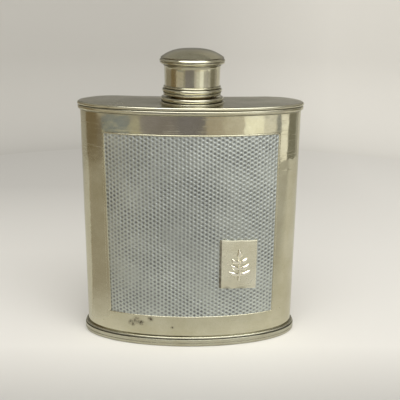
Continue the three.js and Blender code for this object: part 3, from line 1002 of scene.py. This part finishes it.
def build_cap_rim(metal):
    """The double moulding under the dome, with a groove between its beads and one above them."""
    bottom, top = heights_of("cap_rim")
    rim, inside = radius_of("cap_rim"), 12 * MM
    groove = bottom + 1.05 * MM
    profile = rounded(
        [(inside, bottom - 0.05 * MM, 0)]
        + corners(rim, bottom, ((-0.7, -0.05, 0.25), (-0.15, 0.3, 0.4)))
        + corners(rim, groove, ((-0.15, -0.1, 0.2), (-0.42, 0, 0.08), (0, 0.15, 0.25), (0, 0.5, 0.3)))
        + corners(rim, top, ((-0.6, -0.25, 0.3), (-0.95, -0.4, 0.08), (-1, 0.1, 0.03)))
        + [(inside, top + 0.1 * MM, 0)],
        6,
    )
    turned_piece("cap_rim_moulding", profile, metal, ["cap_rim"])


def build_cap_dome(metal):
    """The dome, a hollow shell that is flat in the middle and steep at its edge."""
    bottom, top = heights_of("cap_dome")
    edge, shell = radius_of("cap_dome"), 0.8 * MM
    outside, lining = [], []
    for share in np.sin(np.linspace(0.001, 1, 44) * pi / 2):
        height = 1 - share**2.8
        outside.insert(0, (edge * share, bottom + (top - bottom) * height))
        lining.append(((edge - shell) * share, bottom + (top - bottom - shell) * height))
    lip = bottom - 0.05 * MM
    dome = outside + lining + [(edge - shell, lip), (edge - 0.1 * MM, lip)]
    turned_piece("cap_dome_top", dome, metal, ["cap_dome"])


def build_cap_inside(metal):
    """The disc that closes the dome and backs the cork, and the threaded bush."""
    bottom, top = heights_of("cap_inner_disc")
    disc = rounded(
        corners(0, bottom, ((AXIS_GAP, 0, 0), (11.6, 0, 0.15)))
        + corners(0, top, ((11.6, 0, 0.15), (AXIS_GAP, 0, 0)))
    )
    turned_piece("cap_backing_disc", disc, metal, ["cap_inner_disc"], "cap")
    start = THREAD_START + PITCH / 2
    bush = threaded_tube("cap_thread_bush", 10.85 * MM, 9.9 * MM, 9.05 * MM, start, 2.7)
    add_piece("cap_bush", bush, metal, ["cap_thread_bush"], "cap")


def build_seal(material):
    """The cork disc, with soft edges and the ring that the neck has pressed into it."""
    bottom, top = heights_of("cork_seal")
    edge = radius_of("cork_seal")
    pressed = ((AXIS_GAP, 0, 0), (7.2, 0, 0.2), (7.5, 0.18, 0.2), (8.6, 0.18, 0.2), (9.0, 0, 0.2))
    rim = [(edge, bottom, 0.25 * MM), (edge, top, 0.2 * MM)]
    profile = rounded(corners(0, bottom, pressed) + rim + corners(0, top, ((AXIS_GAP, 0, 0),)))
    turned_piece("cap_cork", profile, material, ["cork_seal"], "seal")


# ---- stage, lights and camera

COVE_RADIUS = 0.5
COVE_CURVE = 0.09
COVE_HEIGHT = 0.8


def studio_material_with_painted_light(name, colour, left_fade, high_fade):
    """Pale warm grey with painted light and shade: a painted pool of light near the flask's foot, and painted
    shade high up and far behind on the left.
    """
    m = Nodes(name)
    place = m.add("SeparateXYZ", {"Vector": m.place}).outputs
    # Each ramp below paints light or shade into the colour.
    behind = m.ramp(place["Y"], 0.1, 0.25)
    left = m.ramp(place["X"], 0.16, -0.02)
    level = m.ramp(m.times(behind, left), 0.0, 1.0, 1.0, left_fade)
    level = m.times(level, m.ramp(place["Z"], 0.153, 0.188, 1.0, high_fade))
    level = m.times(level, m.ramp(place["Z"], 0.21, 0.4, 1.0, 1.65))
    level = m.times(level, m.ramp(place["Y"], -0.06, -0.018, 0.7, 1.0))
    return m.shade({
        "Base Color": m.shaded(rgba(*colour), level),
        "Roughness": 0.9,
        "Specular IOR Level": 0.1,
    })


def stage_surface(name, profile, material):
    """A surface of revolution round the flask, open at its ends, for the floor and the backdrop."""
    vertices, faces = loft([circle(radius, z, 0.0, STAGE_SEGMENTS) for radius, z in profile], False)
    mesh = new_mesh(name, vertices.tolist(), faces[:-2])
    mesh.materials.append(material)
    mesh.polygons.foreach_set("use_smooth", [True] * len(mesh.polygons))
    surface = linked(name, mesh)
    return surface


def build_stage():
    """A floor that curves up into a round backdrop. Light passes through the backdrop."""
    floor_z = BASE_LOW.z
    flat_end = COVE_RADIUS - COVE_CURVE
    pale = studio_material_with_painted_light("studio_floor", (0.93, 0.912, 0.87), 0.77, 1.0)
    grey = studio_material_with_painted_light("studio_backdrop", (0.92, 0.9, 0.85), 0.74, 0.37)
    stage_surface("floor", [(0.0001, floor_z), (0.1, floor_z), (flat_end, floor_z)], pale)
    rise = []
    for t in np.linspace(0, pi / 2, 24):
        rise.append((COVE_RADIUS - COVE_CURVE * (1 - sin(t)), floor_z + COVE_CURVE * (1 - cos(t))))
    rise.append((COVE_RADIUS, COVE_HEIGHT))
    wall = stage_surface("backdrop", rise, grey)
    wall.visible_diffuse = False
    wall.visible_shadow = False


# Reflection cards stand in a ring in front of the flask, and only its gloss sees them. Each is given by
# its bearing from the front in degrees, positive to the right, and its colour low down and high up.
CARD_RADIUS = 0.4
CARD_HEIGHT = 0.26
CARDS = (
    ("brown_left", -135, -97, (0.5, 0.47, 0.41), (0.36, 0.32, 0.26)),
    ("dark_left", -97, -69, (0.26, 0.205, 0.13), (0.27, 0.2, 0.11)),
    ("brown_strip", -69, -62, (0.28, 0.23, 0.17), (0.74, 0.67, 0.56)),
    ("blue_grey", -62, -36, (0.19, 0.24, 0.32), (0.74, 0.67, 0.56)),
    ("pale_line", -36, -28, (0.52, 0.49, 0.4), (0.45, 0.42, 0.37)),
    ("mauve", -28, -8, (0.34, 0.31, 0.32), (0.32, 0.3, 0.33)),
    ("dark_middle", -8, 8, (0.28, 0.26, 0.29), (0.31, 0.3, 0.3)),
    ("tan_right", 8, 17, (0.62, 0.55, 0.46), (0.75, 0.73, 0.7)),
    ("cream", 17, 31, (0.78, 0.72, 0.62), (0.98, 0.98, 0.93)),
    ("window", 31, 46, (1.45, 1.42, 1.26), (1.35, 1.36, 1.36)),
    ("cream_right", 46, 60, (1.15, 1.12, 1.05), (0.62, 0.61, 0.6)),
    ("grey_line", 60, 66, (0.4, 0.41, 0.42), (0.6, 0.57, 0.57)),
    ("window_edge", 66, 79, (1.4, 1.37, 1.3), (0.55, 0.53, 0.5)),
    ("olive_right", 79, 104, (0.3, 0.29, 0.24), (0.32, 0.3, 0.25)),
    ("grey_right", 104, 118, (0.5, 0.49, 0.44), (0.5, 0.48, 0.45)),
)
# A bright card overhead, which stands for the light above.
OVERHEAD_CARD = [(-0.28, -1.3, 0.6), (0.8, -1.3, 0.6), (0.8, -0.06, 0.6), (-0.28, -0.06, 0.6)]
OVERHEAD_GLOW = (4.6, 4.65, 4.75)
FLOOR_CARD_RADII = (0.06, 0.08, 0.1, 0.2, 0.3, 0.399)
FLOOR_CARD_BEARINGS = range(-94, -44, 2)


def glowing(m, share, first, second):
    """Makes a card's material: it gives light from the first colour to the second, and reflects none."""
    return m.shade({
        "Base Color": rgba(0, 0, 0),
        "Specular IOR Level": 0.0,
        "Emission Color": m.blend(share, rgba(*first), rgba(*second)),
        "Emission Strength": 1.0,
    })


def card_material(name, low, high):
    """Plain light from low to high up the card."""
    m = Nodes("card_" + name)
    height = m.add("SeparateXYZ", {"Vector": m.place}).outputs["Z"]
    return glowing(m, m.ramp(height, 0.042, 0.056), low, high)


def floor_card_material():
    """As bright as the floor close to the flask, and tan further out."""
    m = Nodes("card_tan_floor")
    out = m.add("VectorMath", {0: m.place, 1: (0, 0, 0)}, operation="DISTANCE").outputs["Value"]
    return glowing(m, m.ramp(out, 0.062, 0.1), (0.76, 0.73, 0.66), (0.5, 0.455, 0.375))


def add_card(name, vertices, faces, material):
    """A card that only gloss sees."""
    mesh = new_mesh("card_" + name, vertices, faces)
    mesh.materials.append(material)
    card = linked("card_" + name, mesh)
    for ray in ("camera", "diffuse", "shadow", "transmission"):
        setattr(card, "visible_" + ray, False)


def ring_card(name, radius, bearings, top, low, high):
    """An upright card that follows a circle round the flask."""
    vertices, faces = [], []
    for i, bearing in enumerate(np.radians(bearings)):
        x, y = radius * sin(bearing), -radius * cos(bearing)
        vertices += [(x, y, BASE_LOW.z + 0.5 * MM), (x, y, top)]
        if i:
            faces.append((2 * i - 2, 2 * i, 2 * i + 1, 2 * i - 1))
    add_card(name, vertices, faces, card_material(name, low, high))


def floor_card():
    """A card that lies just over the floor, in front of the flask on the left."""
    vertices, faces = [], []
    for step, radius in enumerate(FLOOR_CARD_RADII):
        for place, bearing in enumerate(np.radians(FLOOR_CARD_BEARINGS)):
            vertices.append((radius * sin(bearing), -radius * cos(bearing), BASE_LOW.z + 0.4 * MM))
            if step and place:
                here = len(vertices) - 1
                inner = here - len(FLOOR_CARD_BEARINGS)
                faces.append((inner - 1, inner, here, here - 1))
    add_card("tan_floor", vertices, faces, floor_card_material())


def build_cards():
    for name, start, end, low, high in CARDS:
        bearings = np.linspace(start, end, max(3, (end - start) // 3))
        ring_card(name, CARD_RADIUS, bearings, CARD_HEIGHT, low, high)
    overhead = card_material("overhead", OVERHEAD_GLOW, OVERHEAD_GLOW)
    add_card("overhead", OVERHEAD_CARD, [(0, 1, 2, 3)], overhead)
    floor_card()
    cream = (0.72, 0.68, 0.5)
    ring_card("cream_foot", 0.99 * CARD_RADIUS, range(-62, -26, 2), 0.0245, cream, cream)


def area_light(name, location, size, energy, colour):
    """A broad soft lamp aimed at the flask, which its gloss doesn't see."""
    light = bpy.data.lights.new(name, "AREA")
    light.shape = "DISK"
    light.size = size
    light.energy = energy
    light.color = colour
    lamp = linked(name, light)
    lamp.location = location
    lamp.rotation_euler = (Vector((0, 0, 0.03)) - lamp.location).to_track_quat("-Z", "Y").to_euler()
    lamp.visible_glossy = False
    lamp.visible_camera = False


def build_lights():
    """An even pale surround, with broad soft light from above and a little from the right."""
    world = bpy.data.worlds.new("surround")
    scene.world = world
    world.use_nodes = True
    background = world.node_tree.nodes["Background"]
    background.inputs["Color"].default_value = rgba(0.355, 0.345, 0.32)
    background.inputs["Strength"].default_value = 1.0
    area_light("overhead_light", (0.05, -0.45, 0.85), 1.1, 6.4, (1.0, 0.99, 0.965))
    area_light("window_light", (0.75, -0.6, 0.55), 0.7, 1.85, (1.0, 0.985, 0.96))


def build_camera():
    """A camera 0.29 m in front of the flask and above it, looking down 17 degrees."""
    camera = bpy.data.cameras.new("camera")
    camera.sensor_width = 36
    camera.lens = 59.3
    view = linked("camera", camera)
    view.location = (-1.5 * MM, -288.1 * MM, 152.8 * MM)
    heading, pitch, roll = (radians(degrees) for degrees in (1.175, 17.0, 0.605))
    level = cos(pitch)
    forward = Vector((sin(heading) * level, cos(heading) * level, -sin(pitch)))
    view.rotation_mode = "QUATERNION"
    view.rotation_quaternion = forward.to_track_quat("-Z", "Y") @ Quaternion((0, 0, 1), roll)
    scene.camera = view
    scene.view_settings.view_transform = "Standard"


# ---- assembly

PEWTER = (0.58, 0.56, 0.43)
# Dark marks low on the front, in millimetres: along the curve from its middle, height and size.
MARKS = ((-27.2, 9.9, 1.8), (-25, 11.4, 1.9), (-22.6, 10.4, 1.4), (-18.2, 12.6, 1.5), (-8.2, 8.8, 0.8))
marks = []
for along, z, size in MARKS:
    marks.append((tuple(front_points(along * MM, WALL_FACE, z * MM).tolist()), size * MM))
wall_metal = pewter("pewter_wall", PEWTER, 0.09, marks=marks, dents=0.12 * MM)
# The base's pewter is darker than the rest: painted shade for the shadow it stands in.
shaded_base_metal = pewter("pewter_base", (0.47, 0.46, 0.37), 0.16)
# A longer reach and more strength give more painted shade: in the mouldings' grooves, under the cap's rim and
# round the sprig on the small plate.
moulding_metal = pewter("pewter_mouldings", PEWTER, 0.16, 0.7 * MM, 0.9)
cap_metal = pewter("pewter_cap", PEWTER, 0.12, 0.9 * MM, 1.1)
plate_metal = pewter("pewter_small_plate", (0.84, 0.825, 0.68), 0.25, 1 * MM, 1.5, has_grime_and_shade=True)
sprig_metal = pewter("pewter_sprig", (0.95, 0.93, 0.82), 0.16, 0.3 * MM, 0.5)
panel_metal = pressed_pewter("pewter_pressed", (0.53, 0.56, 0.52))
thread_metal = brass("brass_threads")
cork_material = cork("cork_pressed")

build_camera()
build_stage()
build_cards()
build_lights()
build_wall(wall_metal)
build_top_plate(moulding_metal)
build_top_bead(moulding_metal)
build_base_plate(shaded_base_metal)
build_base_mouldings(shaded_base_metal)
build_panel(panel_metal, moulding_metal)
build_cartouche(plate_metal)
build_sprig(sprig_metal)
build_neck(moulding_metal, thread_metal)
build_cap_foot(cap_metal)
build_cap_band(cap_metal)
build_cap_rim(cap_metal)
build_cap_dome(cap_metal)
build_cap_inside(thread_metal)
build_seal(cork_material)
